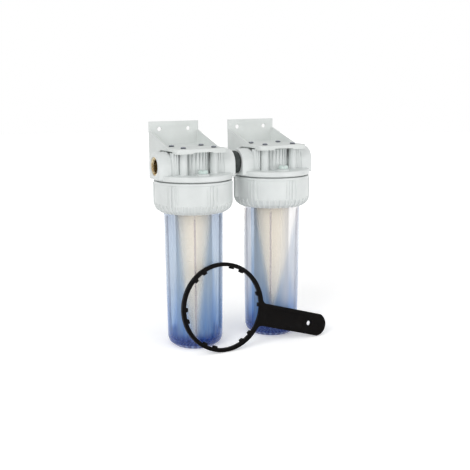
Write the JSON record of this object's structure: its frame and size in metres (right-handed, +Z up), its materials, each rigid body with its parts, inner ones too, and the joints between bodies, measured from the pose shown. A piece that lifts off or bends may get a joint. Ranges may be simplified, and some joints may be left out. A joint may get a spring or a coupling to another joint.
{
  "type": "duplex water filter",
  "caption": "Twin clear-bowl water filter: two threaded-ring housings joined in line, each under its own wall bracket, with a loose ring spanner.",
  "frame": {"origin": "on the surface that the bowls stand on, midway between the two housings' axes", "axes": "+X along the ports from inlet to outlet, -Y towards the front, +Z up"},
  "size_m": [0.2822, 0.1501, 0.3665],
  "materials": {
    "head_plastic": "white moulded plastic, satin gloss",
    "nut_plastic": "white moulded plastic, satin gloss",
    "bracket_plastic": "white moulded plastic, low gloss",
    "bowl_clear_plastic": "clear blue plastic, polished",
    "brass": "turned",
    "coupling_plastic": "black moulded plastic",
    "rubber": "plain black",
    "soft_gasket": "white soft gasket",
    "core_plastic": "white moulded plastic",
    "filter_media": "melt-blown fibre, off-white",
    "zinc_steel": "zinc plated",
    "vent_plastic": "pale green moulded plastic",
    "spanner_plastic": "black moulded plastic"
  },
  "bodies": {
    "filter_body": {"left_head": "head_plastic", "left_inlet_insert": "brass", "left_outlet_insert": "brass", "left_bracket": "bracket_plastic", "left_bracket_screw_front_a": "zinc_steel", "left_bracket_screw_front_b": "zinc_steel", "left_bracket_screw_rear_a": "zinc_steel", "left_bracket_screw_rear_b": "zinc_steel", "left_vent_seal": "rubber", "left_coupling_seal": "rubber", "right_head": "head_plastic", "right_inlet_insert": "brass", "right_outlet_insert": "brass", "right_bracket": "bracket_plastic", "right_bracket_screw_front_a": "zinc_steel", "right_bracket_screw_front_b": "zinc_steel", "right_bracket_screw_rear_a": "zinc_steel", "right_bracket_screw_rear_b": "zinc_steel", "right_vent_seal": "rubber", "right_coupling_seal": "rubber", "coupling_nipple": "coupling_plastic"},
    "left_bowl_body": {"left_bowl": "bowl_clear_plastic", "left_bowl_seal": "rubber", "left_cartridge_core": "core_plastic", "left_cartridge_media": "filter_media", "left_cartridge_lower_gasket": "soft_gasket", "left_cartridge_upper_gasket": "soft_gasket"},
    "left_nut_body": {"left_ring_nut": "nut_plastic"},
    "left_vent_body": {"left_vent_screw": "vent_plastic"},
    "right_bowl_body": {"right_bowl": "bowl_clear_plastic", "right_bowl_seal": "rubber", "right_cartridge_core": "core_plastic", "right_cartridge_media": "filter_media", "right_cartridge_lower_gasket": "soft_gasket", "right_cartridge_upper_gasket": "soft_gasket"},
    "right_nut_body": {"right_ring_nut": "nut_plastic"},
    "right_vent_body": {"right_vent_screw": "vent_plastic"},
    "spanner_body": {"spanner": "spanner_plastic"}
  },
  "joints": [
    {"name": "left_bowl_drop", "type": "slide", "parent": "filter_body", "child": "left_bowl_body", "axis": [0, 0, -1], "range_m": [0, 0.015]},
    {"name": "left_nut_turn", "type": "hinge", "parent": "left_bowl_body", "child": "left_nut_body", "pos_m": [-0.0735, 0, 0.2327], "axis": [0, 0, -1], "range_deg": [0, 1079.9]},
    {"name": "left_vent_turn", "type": "hinge", "parent": "filter_body", "child": "left_vent_body", "pos_m": [-0.0735, -0.0395, 0.2858], "axis": [0, 0, 1], "range_deg": [0, 720]},
    {"name": "right_bowl_drop", "type": "slide", "parent": "filter_body", "child": "right_bowl_body", "axis": [0, 0, -1], "range_m": [0, 0.015]},
    {"name": "right_nut_turn", "type": "hinge", "parent": "right_bowl_body", "child": "right_nut_body", "pos_m": [0.0735, 0, 0.2327], "axis": [0, 0, -1], "range_deg": [0, 1079.9]},
    {"name": "right_vent_turn", "type": "hinge", "parent": "filter_body", "child": "right_vent_body", "pos_m": [0.0735, -0.0395, 0.2858], "axis": [0, 0, 1], "range_deg": [0, 720]},
    {"name": "spanner_take_away", "type": "slide", "parent": "filter_body", "child": "spanner_body", "axis": [0, -1, 0], "range_m": [0, 0.15]}
  ],
  "couplings": [
    {"joint": "left_bowl_drop", "follows": "left_nut_turn", "m_per_rad": 0.00079577},
    {"joint": "right_bowl_drop", "follows": "right_nut_turn", "m_per_rad": 0.00079577}
  ]
}
